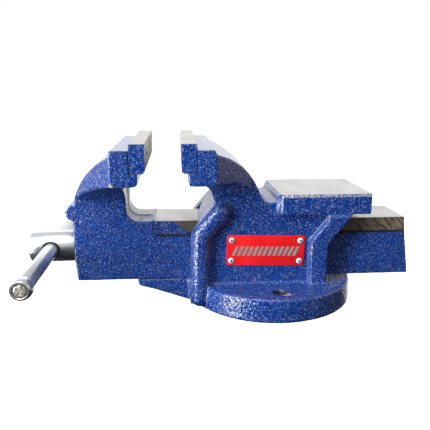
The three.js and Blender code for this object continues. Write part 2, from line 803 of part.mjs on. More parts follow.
put("fixed_body", fixedBody(), PAINT);
put("rear_jaw_plate", jawPlate(REAR_FACE_X, -1), PLATE);
put("rear_jaw_screw_near", jawScrew(REAR_FACE_X, -1, -SCREW_Y), DARK);
put("rear_jaw_screw_far", jawScrew(REAR_FACE_X, -1, SCREW_Y), DARK);
put("name_plate", namePlate(), RED);
rivetPlaces().forEach(([x, z], i) => put(`name_plate_rivet_${i + 1}`, rivet(x, z), ZINC));
put("spindle_nut", spindleNut(), IRON);
put("nut_bolt", nutBolt(), DARK);
put("nut_bolt_washer", nutBoltWasher(), STEEL);
put("moving_jaw", movingJaw(), PAINT);
put("front_jaw_plate", jawPlate(FRONT_FACE_X, 1), PLATE);
put("front_jaw_screw_near", jawScrew(FRONT_FACE_X, 1, -SCREW_Y), DARK);
put("front_jaw_screw_far", jawScrew(FRONT_FACE_X, 1, SCREW_Y), DARK);
put("thrust_washer", thrustWasher(), STEEL);
put("spindle_screw", spindle(), ZINC);
put("spindle_spring", spring(), DARK);
put("spring_washer", springWasher(), STEEL);
put("cotter_pin", cotterPin(), STEEL);
put("handle_bar", handleBar(), ZINC);
put("handle_cap_near", handleCap(-1), ZINC);
put("handle_cap_far", handleCap(1), ZINC);

export default vise;
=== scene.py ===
import math

import bmesh
import bpy
import numpy as np
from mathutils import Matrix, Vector, noise


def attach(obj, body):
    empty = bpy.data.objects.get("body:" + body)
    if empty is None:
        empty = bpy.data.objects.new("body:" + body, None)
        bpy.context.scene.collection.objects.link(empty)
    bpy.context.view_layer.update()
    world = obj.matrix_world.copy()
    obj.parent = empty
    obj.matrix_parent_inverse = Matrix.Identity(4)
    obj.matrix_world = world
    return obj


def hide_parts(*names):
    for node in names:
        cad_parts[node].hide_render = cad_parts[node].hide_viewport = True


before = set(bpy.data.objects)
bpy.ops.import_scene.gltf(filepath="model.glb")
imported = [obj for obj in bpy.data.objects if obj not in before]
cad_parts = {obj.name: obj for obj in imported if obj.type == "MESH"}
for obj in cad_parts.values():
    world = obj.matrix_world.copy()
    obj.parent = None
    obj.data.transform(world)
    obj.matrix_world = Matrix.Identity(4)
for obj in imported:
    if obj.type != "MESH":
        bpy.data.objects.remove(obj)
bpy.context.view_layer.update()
MM = 0.001

# Sizes shared with the CAD, in metres
JAW_HALF = 75 * MM
PLATE_T = 14.2 * MM
PLATE_Z = (142.5 * MM, 169.1 * MM)
PLATE_ROUND = 3 * MM
FRONT_FACE_X = -126.1 * MM
REAR_FACE_X = -93.8 * MM
BLOCK_BOTTOM = 130.8 * MM
SCREW_Y = 42 * MM
SCREW_Z = 155 * MM
SCREW_R = 4 * MM
SCREW_HEAD_R = 7.6 * MM
SCREW_HEAD_DEEP = 4.4 * MM
SCREW_LENGTH = 26 * MM
SCREW_PLAY = 0.3 * MM
BASE_T = 23.5 * MM
BOLT_Y = 64.5 * MM
BOLT_R = 6.6 * MM
HOUSING_HALF = 40 * MM
ANVIL_X = (0.0, 93.2 * MM)
ANVIL_HALF = 45.4 * MM
ANVIL_TOP = 115.8 * MM
SLIDE_HALF = 28.7 * MM
CHANNEL_HALF = 20 * MM  # the hollow inside the slide
CHANNEL_TOP = 75 * MM
SLIDE_TOP_HALF = 26.7 * MM
SLIDE_TOP = 87.3 * MM
SLIDE_STEP_X = -121.3 * MM
SLIDE_STEP_Z = 73 * MM
SLIDE_END_X = 135.4 * MM
OPENING_HALF = 29.3 * MM
OPENING_BOTTOM = 26.5 * MM
OPENING_TOP = 87.9 * MM
OPENING_X = (-160 * MM, 130 * MM)  # past both ends of the housing
FOOT = ((-92 * MM, -58 * MM, 17 * MM), (62 * MM, 58 * MM, 32 * MM))  # where the housing meets the base
THROAT_X = -148.7 * MM
THROAT_R = 12.5 * MM
SPINDLE_Z = 56 * MM
SPINDLE_R = 11 * MM
SPINDLE_END_X = 105 * MM
HEAD_R = 16.4 * MM
HEAD_X = (-250 * MM, -201.6 * MM)
HEAD_BEVEL = 2 * MM
CROSS_X = -227.7 * MM
CROSS_R = 8.2 * MM
THRUST_WASHER_X = (-201.1 * MM, -198.7 * MM)
THRUST_WASHER_R = 15.6 * MM
SPRING_WASHER_X = (-156.7 * MM, -154.5 * MM)
SPRING_WASHER_R = 16 * MM
WASHER_PLAY = 0.4 * MM
SPRING_X = (-175.7 * MM, -157 * MM)
SPRING_OUT_R = 15 * MM
SPRING_IN_R = 11.6 * MM
COTTER_X = -150.6 * MM
COTTER_R = 1.8 * MM
COTTER_REACH = 17 * MM
BAR_R = 7.4 * MM
BAR_HALF = 125 * MM
CAP_LENGTH = 13 * MM
CAP_R = 9.8 * MM
SPIGOT_R = 6.1 * MM
HANDLE_Z = 55.5 * MM
NAME_AT = (-10.9 * MM, 58.8 * MM)
NAME_SIZE = (78.4 * MM, 31.2 * MM)
NAME_T = 1.1 * MM
NAME_TURN = math.radians(-1.5)
RIVET_DX = 34.4 * MM
RIVET_DZ = 10.6 * MM
RIVET_R = 1.5 * MM
RIVET_HEAD_R = 3 * MM
RIVET_HEAD_T = 1.5 * MM

# Detail that only the visual has
THREAD_PITCH = 5 * MM
THREAD_DEPTH = 2.2 * MM
THREAD_START = -143 * MM
SKIN = 0.2 * MM  # what the paint adds to a casting
WAVE_HEIGHT = 0.16 * MM  # unevenness of a casting's skin
WAVE_LENGTH = 34 * MM
SPARE = 1.5 * MM  # metal added to a casting before it is machined
FAR = 160 * MM  # past the end of the slide
REACH = 8 * MM  # how far a cutter stands out above a casting
TOOTH = 1.35 * MM  # spacing of the points on the gripping faces
TOOTH_DEPTH = 0.75 * MM
SEAT_GAP = 0.35 * MM  # dark line between a plate and its casting
MOTIF_WIDTH = 66 * MM  # the band of slanted bars on the name plate
MOTIF_HEIGHT = 9.4 * MM
MOTIF_BARS = 13
VOXEL = 1.0 * MM


# ---------------------------------------------------------------- materials

class Nodes:
    """A material's node tree, built with short calls."""

    def __init__(self, name):
        self.material = bpy.data.materials.new(name)
        self.material.use_nodes = True
        self.tree = self.material.node_tree
        self.shader = self.tree.nodes["Principled BSDF"]
        self.coords = self.add("ShaderNodeTexCoord").outputs["Object"]

    def add(self, kind, inputs=None, **settings):
        node = self.tree.nodes.new(kind)
        for key, value in settings.items():
            setattr(node, key, value)
        for key, value in (inputs or {}).items():
            self.feed(node.inputs[key], value)
        return node

    def feed(self, socket, value):
        if isinstance(value, bpy.types.NodeSocket):
            self.tree.links.new(value, socket)
        else:
            socket.default_value = value

    def set(self, **values):
        for key, value in values.items():
            self.feed(self.shader.inputs[key.replace("_", " ")], value)

    def mapped(self, grain, turn=(0, 0, 0)):
        """Coordinates turned, then stretched to grain steps a metre along each turned axis."""
        inputs = {"Vector": self.coords, "Scale": [1 / step for step in grain], "Rotation": turn}
        return self.add("ShaderNodeMapping", inputs, vector_type="TEXTURE").outputs["Vector"]

    def noise(self, scale, detail=2.0, rough=0.5, distortion=0.0, vector=None):
        inputs = {
            "Vector": vector or self.coords,
            "Scale": scale,
            "Detail": detail,
            "Roughness": rough,
            "Distortion": distortion,
        }
        return self.add("ShaderNodeTexNoise", inputs).outputs["Fac"]

    def math(self, operation, a, b=0.0):
        node = self.add("ShaderNodeMath", operation=operation)
        self.feed(node.inputs[0], a)
        self.feed(node.inputs[1], b)
        return node.outputs[0]

    def band(self, value, low, high, to_low=0.0, to_high=1.0):
        inputs = {"Value": value, "From Min": low, "From Max": high, "To Min": to_low, "To Max": to_high}
        return self.add("ShaderNodeMapRange", inputs, interpolation_type="SMOOTHSTEP").outputs["Result"]

    def mix(self, factor, a, b):
        node = self.add("ShaderNodeMix", data_type="RGBA")
        self.feed(node.inputs[0], factor)
        self.feed(node.inputs[6], a)
        self.feed(node.inputs[7], b)
        return node.outputs[2]

    def bump(self, height, strength, distance):
        inputs = {"Height": height, "Strength": strength, "Distance": distance}
        return self.add("ShaderNodeBump", inputs).outputs["Normal"]

    def spot(self, centre, size):
        """A ragged patch about a point, with its half sizes along the axes."""
        away = self.add("ShaderNodeVectorMath", {0: self.coords, 1: centre}, operation="SUBTRACT")
        scaled = self.add("ShaderNodeVectorMath", {0: away.outputs[0], 1: size}, operation="DIVIDE")
        far = self.add("ShaderNodeVectorMath", {0: scaled.outputs[0]}, operation="LENGTH").outputs["Value"]
        ragged = self.math("ADD", far, self.math("MULTIPLY", self.noise(700, detail=2.0), 1.4))
        return self.band(ragged, 1.75, 1.55)

    def axis(self, letter):
        split = self.add("ShaderNodeSeparateXYZ", {"Vector": self.coords})
        return split.outputs[letter]


def rgb(r, g, b):
    return (r, g, b, 1.0)


DEEP_BLUE = rgb(0.0001, 0.025, 0.190)
MID_BLUE = rgb(0.0003, 0.043, 0.255)
# Fleck colours: partly the enamel's own pale pattern, partly painted glints of the hammered dimples
FLECK_GLINT = rgb(0.44, 0.56, 0.84)
FLECK_GLINT_TAN = rgb(0.45, 0.49, 0.62)
BARE = rgb(0.46, 0.38, 0.30)
# Places where the paint has come off: middle and half sizes along X, Y and Z
CHIPS = [
    ((5.5 * MM, -71.5 * MM, BASE_T), (5 * MM, 3.2 * MM, 2 * MM)),
    ((-156.4 * MM, -JAW_HALF, BLOCK_BOTTOM + 1.2 * MM), (1.7 * MM, 2 * MM, 1.7 * MM)),
    ((34.5 * MM, -45 * MM, 57 * MM), (1.2 * MM, 3 * MM, 2.2 * MM)),
    ((34.5 * MM, -47 * MM, 63 * MM), (1.0 * MM, 1.5 * MM, 1.5 * MM)),
]


def paint_layers(n):
    """Colour and normal of the hammer-finish enamel: pale worm-like flecks on deep blue, partly the enamel's
    own pattern and partly painted glints of its hammered dimples.
    """
    worms = n.noise(860, detail=0.7, rough=0.5, distortion=0.7)
    ridge = n.math("ABSOLUTE", n.math("SUBTRACT", worms, 0.5))
    fleck_glint = n.band(ridge, 0.042, 0.014)
    breaks = n.band(n.noise(690, detail=0.3), 0.50, 0.56)
    fleck_glint = n.math("MULTIPLY", fleck_glint, breaks)
    blotch = n.band(n.noise(330, detail=2.0, rough=0.6), 0.42, 0.60)
    blue = n.mix(blotch, DEEP_BLUE, MID_BLUE)
    tint = n.mix(n.band(n.noise(210, detail=1.0), 0.45, 0.6), FLECK_GLINT, FLECK_GLINT_TAN)
    colour = n.mix(n.math("MULTIPLY", fleck_glint, 0.9), blue, tint)
    dimples = n.noise(440, detail=1.0, rough=0.5, distortion=0.4)
    height = n.math("ADD", n.math("MULTIPLY", fleck_glint, 0.2), dimples)
    for centre, size in CHIPS:
        chip = n.spot(centre, size)
        colour = n.mix(chip, colour, BARE)
    return colour, n.bump(height, 1.0, 0.75 * MM)


def paint_material():
    """The castings' enamel under its clear coat."""
    n = Nodes("hammer_paint")
    colour, normal = paint_layers(n)
    n.set(Base_Color=colour, Normal=normal, Coat_Normal=normal)
    n.set(Roughness=0.6, Specular_IOR_Level=0.05, Coat_Weight=1.0, Coat_Roughness=0.055, Coat_IOR=1.62)
    return n.material


def machined_material(name, light, dark, grain):
    """Bare ground metal: fine marks along the axis with the smallest grain, soft stains and a few specks."""
    n = Nodes(name)
    marks = n.noise(1.0, detail=3.0, rough=0.6, vector=n.mapped(grain))
    stain = n.noise(38, detail=4.0, rough=0.65)
    specks = n.band(n.noise(620, detail=1.0), 0.66, 0.74)
    shade = n.math("ADD", n.math("MULTIPLY", marks, 0.55), n.math("MULTIPLY", stain, 0.45))
    colour = n.mix(n.band(shade, 0.35, 0.65), dark, light)
    colour = n.mix(n.math("MULTIPLY", specks, 0.35), colour, dark)
    n.set(Base_Color=colour, Metallic=0.85, Roughness=n.band(stain, 0.3, 0.7, 0.32, 0.50))
    n.set(Normal=n.bump(marks, 0.25, 0.12 * MM))
    return n.material


def side_band_material():
    """The ground side of the slide: dark, with faint slanting marks, painted over at its front end. Towards
    the rear the marks are real, and their pale streaks are painted highlights.
    """
    n = Nodes("slide_side")
    marks = n.noise(1.0, detail=2.5, rough=0.6, vector=n.mapped((110, 200, 760), (0, math.radians(50), 0)))
    stain = n.noise(26, detail=3.0, rough=0.6)
    smooth = n.mix(n.band(marks, 0.3, 0.7), rgb(0.105, 0.080, 0.060), rgb(0.165, 0.130, 0.100))
    # Rear scoring: real marks, with painted highlights as their light streaks
    scored_with_highlights = n.mix(n.band(marks, 0.40, 0.60), rgb(0.06, 0.046, 0.036), rgb(0.24, 0.195, 0.155))
    metal = n.mix(n.band(n.axis("X"), 70 * MM, 105 * MM), smooth, scored_with_highlights)
    metal = n.mix(n.math("MULTIPLY", n.band(stain, 0.45, 0.7), 0.4), metal, rgb(0.12, 0.088, 0.062))
    colour, normal = paint_layers(n)
    ragged = n.math("MULTIPLY", n.noise(140, detail=2.0), 6 * MM)
    slanting = n.math("ADD", n.axis("X"), n.math("MULTIPLY", n.axis("Z"), 1.5))
    bare = n.band(n.math("ADD", slanting, ragged), 26 * MM, 34 * MM)
    upper = n.band(n.math("ADD", n.axis("Z"), ragged), 76.5 * MM, 79.5 * MM)
    behind = n.band(n.axis("X"), 0.0, 50 * MM)
    bare = n.math("MULTIPLY", bare, n.math("MAXIMUM", upper, behind))
    n.set(Base_Color=n.mix(bare, colour, metal), Metallic=n.math("MULTIPLY", bare, 0.2))
    n.set(Roughness=n.band(bare, 0.0, 1.0, 0.6, 0.5), Normal=n.bump(marks, 0.15, 0.1 * MM))
    return n.material


def zinc_material(name, light, dark, rough, metallic=0.95):
    """Zinc plate: a soft mottle in colour and gloss, and a fine grain."""
    n = Nodes(name)
    mottle = n.noise(190, detail=4.0, rough=0.7)
    fine = n.noise(900, detail=2.0)
    colour = n.mix(n.band(mottle, 0.35, 0.68), light, dark)
    n.set(Base_Color=colour, Metallic=metallic, Roughness=n.band(mottle, 0.3, 0.7, rough, rough + 0.14))
    n.set(Normal=n.bump(fine, 0.1, 0.05 * MM))
    return n.material


def worn_edge_material():
    """A painted edge rubbed through to bare metal in specks."""
    n = Nodes("worn_edge")
    colour, normal = paint_layers(n)
    worn = n.band(n.noise(640, detail=2.0, rough=0.6), 0.46, 0.54)
    n.set(Base_Color=n.mix(worn, colour, rgb(0.44, 0.43, 0.42)), Metallic=n.math("MULTIPLY", worn, 0.6))
    n.set(Roughness=0.4, Normal=normal, Coat_Weight=0.5, Coat_Roughness=0.12)
    return n.material


def rough_end_material():
    """The lumpy end of the handle's bar."""
    n = Nodes("sheared_end")
    lumps = n.noise(420, detail=4.0, rough=0.7)
    colour = n.mix(n.band(lumps, 0.4, 0.62), rgb(0.20, 0.19, 0.17), rgb(0.66, 0.64, 0.58))
    n.set(Base_Color=colour, Metallic=0.6, Roughness=0.5, Normal=n.bump(lumps, 0.7, 0.5 * MM))
    return n.material


def serrated_material():
    """The toothed face of a jaw plate, bright and dark in patches: partly the steel's own mottle, partly
    painted glints and shade of the teeth.
    """
    n = Nodes("serrated_steel")
    mottle = n.noise(260, detail=3.0, rough=0.7)
    colour = n.mix(n.band(mottle, 0.38, 0.62), rgb(0.14, 0.135, 0.13), rgb(0.86, 0.85, 0.84))
    n.set(Base_Color=colour, Metallic=0.5, Roughness=0.36, Normal=n.bump(mottle, 0.3, 0.2 * MM))
    return n.material


def red_material():
    """Satin red enamel of the name plate."""
    n = Nodes("red_plate")
    fine = n.noise(700, detail=2.0)
    tone = n.noise(45, detail=2.0)
    colour = n.mix(n.band(tone, 0.3, 0.7), rgb(0.76, 0.005, 0.009), rgb(0.84, 0.009, 0.013))
    n.set(Base_Color=colour, Roughness=n.band(tone, 0.3, 0.7, 0.36, 0.46), Normal=n.bump(fine, 0.1, 0.1 * MM))
    return n.material


def motif_material():
    """Grey print of the slanted bars."""
    n = Nodes("grey_print")
    fine = n.noise(500, detail=2.0)
    colour = n.mix(n.band(fine, 0.3, 0.7), rgb(0.16, 0.24, 0.245), rgb(0.24, 0.34, 0.345))
    n.set(Base_Color=colour, Roughness=0.45)
    return n.material


def dark_material(name, light, dark, metallic=0.7, rough=0.45):
    """Blackened or rough metal, blotched."""
    n = Nodes(name)
    tone = n.noise(210, detail=4.0, rough=0.65)
    colour = n.mix(n.band(tone, 0.35, 0.65), dark, light)
    n.set(Base_Color=colour, Metallic=metallic, Roughness=rough, Normal=n.bump(tone, 0.25, 0.2 * MM))
    return n.material


PAINT = paint_material()
TOP_STEEL = machined_material(
    "machined_top", rgb(0.44, 0.437, 0.431), rgb(0.385, 0.382, 0.376), (900, 60, 900)
)
SLIDE_STEEL = machined_material(
    "machined_slide", rgb(0.47, 0.466, 0.455), rgb(0.39, 0.386, 0.375), (30, 900, 900)
)
GROOVE_STEEL = machined_material(
    "machined_opening", rgb(0.30, 0.29, 0.27), rgb(0.16, 0.15, 0.14), (30, 900, 900)
)
SIDE_BAND = side_band_material()
ZINC = zinc_material("bright_zinc", rgb(0.66, 0.69, 0.70), rgb(0.55, 0.58, 0.585), 0.24, 0.9)
# Rivet heads: partly the zinc's own pale colour, partly a painted reflection of the white room
RIVET = zinc_material("rivet_steel_painted_sheen", rgb(0.88, 0.90, 0.90), rgb(0.66, 0.70, 0.71), 0.42, 0.35)
ZINC_DARK = zinc_material("zinc_shadowed", rgb(0.46, 0.46, 0.44), rgb(0.26, 0.26, 0.25), 0.35)
PLATE_STEEL = machined_material(
    "jaw_steel", rgb(0.43, 0.424, 0.41), rgb(0.33, 0.325, 0.31), (900, 40, 900)
)
ROUGH_END = rough_end_material()
SERRATED = serrated_material()
WORN_EDGE = worn_edge_material()
RED = red_material()
MOTIF = motif_material()
BLACK_STEEL = dark_material("dark_steel", rgb(0.16, 0.16, 0.165), rgb(0.045, 0.045, 0.05))
IRON = dark_material("bare_iron", rgb(0.34, 0.32, 0.30), rgb(0.20, 0.185, 0.17), 0.6, 0.55)
# Near-black painted shade, for the walls of the bench bolt holes, the groove along the slide and the
# parting-line ridge
PAINTED_SHADE = dark_material("painted_shade_black", rgb(0.03, 0.032, 0.045), rgb(0.01, 0.012, 0.02), 0.1, 0.5)


# ---------------------------------------------------------------- mesh tools

def link(name, mesh, materials):
    obj = bpy.data.objects.new(name, mesh)
    bpy.context.scene.collection.objects.link(obj)
    for material in materials:
        mesh.materials.append(material)
    return obj


def from_bmesh(name, bm, materials):
    mesh = bpy.data.meshes.new(name)
    bmesh.ops.recalc_face_normals(bm, faces=bm.faces)
    bm.to_mesh(mesh)
    bm.free()
    return link(name, mesh, materials)


def copy_of(node, name, materials):
    """A welded copy of a CAD node's mesh."""
    bm = bmesh.new()
    bm.from_mesh(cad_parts[node].data)
    bmesh.ops.remove_doubles(bm, verts=bm.verts, dist=1e-6)
    for face in bm.faces:
        face.material_index = 0
    return from_bmesh(name, bm, materials)


def apply_modifiers(obj):
    graph = bpy.context.evaluated_depsgraph_get()
    graph.update()
    mesh = bpy.data.meshes.new_from_object(obj.evaluated_get(graph), depsgraph=graph)
    old = obj.data
    obj.modifiers.clear()
    obj.data = mesh
    bpy.data.meshes.remove(old)


def modify(obj, kind, **settings):
    modifier = obj.modifiers.new(kind.lower(), kind)
    for key, value in settings.items():
        setattr(modifier, key, value)
    apply_modifiers(obj)


def combine(obj, other, operation):
    """Joins or cuts with the other solid, then drops it. New faces keep the other's material."""
    modify(obj, "BOOLEAN", object=other, operation=operation, solver="EXACT", material_mode="TRANSFER")
    if not obj.data.polygons:
        raise RuntimeError(f"{obj.name}: nothing is left after the {operation} with {other.name}")
    bpy.data.objects.remove(other)


def loft(name, loops, materials, closed=False, band_of=None):
    """A solid skinned over loops of the same number of points. The ends are capped, or, if closed,
    the last loop joins the first. band_of gives the material index of the strip after loop i."""
    bm = bmesh.new()
    rings = [[bm.verts.new(p) for p in loop] for loop in loops]
    pairs = list(zip(rings, rings[1:]))
    if closed:
        pairs.append((rings[-1], rings[0]))
    count = len(loops[0])
    for i, (one, two) in enumerate(pairs):
        for k in range(count):
            n = (k + 1) % count
            face = bm.faces.new((one[k], one[n], two[n], two[k]))
            face.material_index = band_of(i) if band_of else 0
    if not closed:
        first = bm.faces.new(rings[0])
        last = bm.faces.new(list(reversed(rings[-1])))
        first.material_index = band_of(0) if band_of else 0
        last.material_index = band_of(len(pairs) - 1) if band_of else 0
    return from_bmesh(name, bm, materials)


def around(axis, centre, radius, along, sides):
    """Points of a circle about an axis through centre. The radius may be a function of the angle."""
    points = []
    for k in range(sides):
        t = 2 * math.pi * k / sides
        r = radius(t) if callable(radius) else radius
        u, v = r * math.cos(t), r * math.sin(t)
        co = {"x": (along, u, v), "y": (v, along, u), "z": (u, v, along)}[axis]
        points.append(Vector(co) + Vector(centre))
    return points


def turned(name, profile, axis, sides, materials, centre=(0, 0, 0), closed=False, band_of=None):
    """A turned solid from (radius, distance along the axis) pairs."""
    loops = [around(axis, centre, r, a, sides) for r, a in profile]
    return loft(name, loops, materials, closed, band_of)


def tube(name, points, radius, sides, materials):
    """A round bar along a path, with flat ends."""
    loops = []
    up = Vector((0.1, 0.2, 1)).normalized()
    for i, p in enumerate(points):
        ahead = (points[min(i + 1, len(points) - 1)] - points[max(i - 1, 0)]).normalized()
        side = ahead.cross(up).normalized()
        up = side.cross(ahead).normalized()
        turn = [2 * math.pi * k / sides for k in range(sides)]
        loops.append([p + radius * (side * math.cos(t) + up * math.sin(t)) for t in turn])
    return loft(name, loops, materials)


def prism(name, outline, y0, y1, materials):
    """A side outline (x, z) given depth along Y."""
    loops = [[Vector((x, y, z)) for x, z in outline] for y in (y0, y1)]
    return loft(name, loops, materials)


def box(name, low, high, material):
    outline = [(low[0], low[2]), (high[0], low[2]), (high[0], high[2]), (low[0], high[2])]
    return prism(name, outline, low[1], high[1], [material])


def arc_points(centre, radius, start, end, steps):
    """Points of an arc in a plane, angles in degrees."""
    turn = [math.radians(start + (end - start) * k / steps) for k in range(steps + 1)]
    return [(centre[0] + radius * math.cos(t), centre[1] + radius * math.sin(t)) for t in turn]


def rounded(width, height, radius, steps=5):
    """A rectangle about the origin with round corners."""
    u, v = width / 2 - radius, height / 2 - radius
    points = []
    for quarter, (a, b) in enumerate([(u, v), (-u, v), (-u, -v), (u, -v)]):
        points += arc_points((a, b), radius, 90 * quarter, 90 * quarter + 90, steps)
    return points


def shade(obj, degrees):
    """Smooth shading, with edges sharper than the angle kept sharp."""
    mesh = obj.data
    mesh.polygons.foreach_set("use_smooth", [True] * len(mesh.polygons))
    mesh.set_sharp_from_angle(angle=math.radians(degrees))
    mesh.update()


def place(obj, body, nodes=(), degrees=35):
    """Shades a finished piece, ties it to its body and hides the CAD nodes that it stands for."""
    shade(obj, degrees)
    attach(obj, body)
    if nodes:
        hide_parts(*nodes)
    return obj


def positions(mesh):
    flat = np.empty(len(mesh.vertices) * 3)
    mesh.vertices.foreach_get("co", flat)
    return flat.reshape(-1, 3)


def set_positions(mesh, points):
    mesh.vertices.foreach_set("co", points.ravel())
    mesh.update()


def relax(obj, steps, amount):
    """Rounds edges and inner corners by moving each point towards its neighbours' middle.
    The amount may be a function that gives each point its own."""
    mesh = obj.data
    points = positions(mesh)
    edges = np.empty(len(mesh.edges) * 2, dtype=np.int64)
    mesh.edges.foreach_get("vertices", edges)
    a, b = edges.reshape(-1, 2).T
    count = np.bincount(a, minlength=len(points)) + np.bincount(b, minlength=len(points))
    weight = amount(points)[:, None] if callable(amount) else amount
    for _ in range(steps):
        total = np.zeros_like(points)
        for axis in range(3):
            total[:, axis] = np.bincount(a, points[b, axis], len(points))
            total[:, axis] += np.bincount(b, points[a, axis], len(points))
        points += weight * (total / count[:, None] - points)
    set_positions(mesh, points)


def waver(obj, height, wave):
    """Slow unevenness of a sand-cast skin, about height deep, with the thickness of its paint."""
    mesh = obj.data
    points = positions(mesh)
    normals = np.empty(len(mesh.vertices) * 3)
    mesh.vertices.foreach_get("normal", normals)
    normals = normals.reshape(-1, 3)
    k = 2 * math.pi / wave
    x, y, z = points.T
    swell = 2 * SKIN / height + np.sin(k * (x + 0.6 * y)) * np.sin(k * (0.8 * z - 0.5 * x) + 1.0)
    swell += 0.6 * np.sin(1.9 * k * (y - 0.4 * z) + 2.0) * np.sin(1.7 * k * (x + 0.3 * z))
    set_positions(mesh, points + normals * (0.5 * height * swell)[:, None])


# ---------------------------------------------------------------- castings

def within(low, high, soft):
    """Weight that is a half inside a box and 0 outside it, with a soft border."""

    def weight(points):
        inside = np.ones(len(points))
        for axis in range(3):
            p = points[:, axis]
            inside *= np.clip((p - low[axis]) / soft + 0.5, 0, 1)
            inside *= np.clip((high[axis] - p) / soft + 0.5, 0, 1)
        return 0.5 * inside

    return weight


def cast_skin(obj, steps):
    """Evens out the mesh and rounds its edges, a little more below the blocks behind the jaw plates."""
    modify(obj, "REMESH", mode="VOXEL", voxel_size=VOXEL, use_smooth_shade=True)
    relax(obj, 3, 0.5)
    below_blocks = within((-1, -1, -1), (1, 1, BLOCK_BOTTOM - 4 * MM), 6 * MM)
    relax(obj, steps, below_blocks)


def seat(name, face_x, side):
    """What is cut from a casting so that its jaw plate has a crisp step to sit in."""
    back = face_x - side * (PLATE_T + SEAT_GAP)
    front = face_x + side * REACH
    low = (min(back, front), -JAW_HALF - 4 * MM, PLATE_Z[0] - SEAT_GAP)
    return box(name, low, (max(back, front), JAW_HALF + 4 * MM, PLATE_Z[1] + 4 * MM), GROOVE_STEEL)


def bolt_hole(y):
    """Cutter for a bench bolt hole, its rim slightly broken; the walls it leaves are near black, painted
    shade.
    """
    r = BOLT_R
    profile = [(r, -2 * MM), (r, BASE_T - 0.8 * MM), (r + 0.8 * MM, BASE_T), (r + 3 * MM, BASE_T + 2 * MM)]
    return turned("hole", profile, "z", 48, [PAINTED_SHADE], (0, y, 0))


def fixed_casting():
    """The base, housing, rear jaw and anvil, with the faces that are machined cut crisp."""
    body = copy_of("fixed_body", "fixed_casting", [PAINT, TOP_STEEL, WORN_EDGE, GROOVE_STEEL, PAINTED_SHADE])
    points = positions(body.data)
    anvil_top = (abs(points[:, 2] - ANVIL_TOP) < 0.2 * MM) & (points[:, 0] > ANVIL_X[0] - MM)
    points[anvil_top, 2] += 2 * MM  # spare metal, which cut_anvil takes off again
    set_positions(body.data, points)
    cast_skin(body, 1)
    relax(body, 9, within(*FOOT, 4 * MM))
    waver(body, WAVE_HEIGHT, WAVE_LENGTH)
    low = (ANVIL_X[0] - 2 * MM, -ANVIL_HALF - REACH, ANVIL_TOP)
    high = (ANVIL_X[1] + REACH, ANVIL_HALF + REACH, ANVIL_TOP + REACH)
    combine(body, box("cut_anvil", low, high, TOP_STEEL), "DIFFERENCE")
    wide, deep, above = 1.6 * MM, 2.6 * MM, ANVIL_TOP + 0.02 * MM
    for side in (-1, 1):
        outer = side * (ANVIL_HALF + REACH)
        edge = [(side * (ANVIL_HALF - wide), above), (outer, above)]
        edge.append((outer, ANVIL_TOP - deep * (1 + REACH / wide)))
        loops = [[Vector((x, y, z)) for y, z in edge] for x in (ANVIL_X[0] + 3 * MM, ANVIL_X[1] + REACH)]
        combine(body, loft("edge", loops, [WORN_EDGE]), "DIFFERENCE")
    low = (OPENING_X[0], -OPENING_HALF, OPENING_BOTTOM)
    high = (OPENING_X[1], OPENING_HALF, OPENING_TOP)
    combine(body, box("opening", low, high, GROOVE_STEEL), "DIFFERENCE")
    combine(body, seat("seat", REAR_FACE_X, -1), "DIFFERENCE")
    for side in (-1, 1):
        combine(body, bolt_hole(side * BOLT_Y), "DIFFERENCE")
    return place(body, "vise_body", ["fixed_body"], 40)


def parting_line():
    """The thin ridge that the two halves of the mould left round the throat, coloured near black as its
    painted shadow.
    """
    high, wide = 0.55 * MM, 0.65 * MM
    centre = (THROAT_X + THROAT_R, SLIDE_TOP + THROAT_R)
    outer = [(THROAT_X - 0.6 * MM, BLOCK_BOTTOM + 2 * MM)]
    outer += arc_points(centre, THROAT_R + 0.6 * MM, 180, 270, 12)
    outer.append((SLIDE_STEP_X - 1.2 * MM, SLIDE_TOP - 0.6 * MM))
    inner = [(SLIDE_STEP_X - 1.2 * MM, SLIDE_TOP + high)]
    inner += arc_points(centre, THROAT_R - high, 270, 180, 12)
    inner.append((THROAT_X + high, BLOCK_BOTTOM + 2 * MM))
    return prism("parting_line", outer + inner, -wide, wide, [PAINTED_SHADE])


def spare_metal():
    """What the upper part of the slide has to spare before it is machined, hollow as its channel is."""
    start, bottom, top = SLIDE_STEP_X - SPARE, SLIDE_STEP_Z - SPARE, SLIDE_TOP + SPARE
    outline = [(start, bottom), (SLIDE_END_X + 1.9 * MM, bottom), (SLIDE_END_X - 0.4 * MM, top), (start, top)]
    block = prism("spare", outline, -SLIDE_HALF, SLIDE_HALF, [PAINT])
    wall = 2 * MM
    low = (start - MM, -CHANNEL_HALF - wall, bottom - MM)
    combine(block, box("hollow", low, (FAR, CHANNEL_HALF + wall, CHANNEL_TOP + wall), PAINT), "DIFFERENCE")
    return block


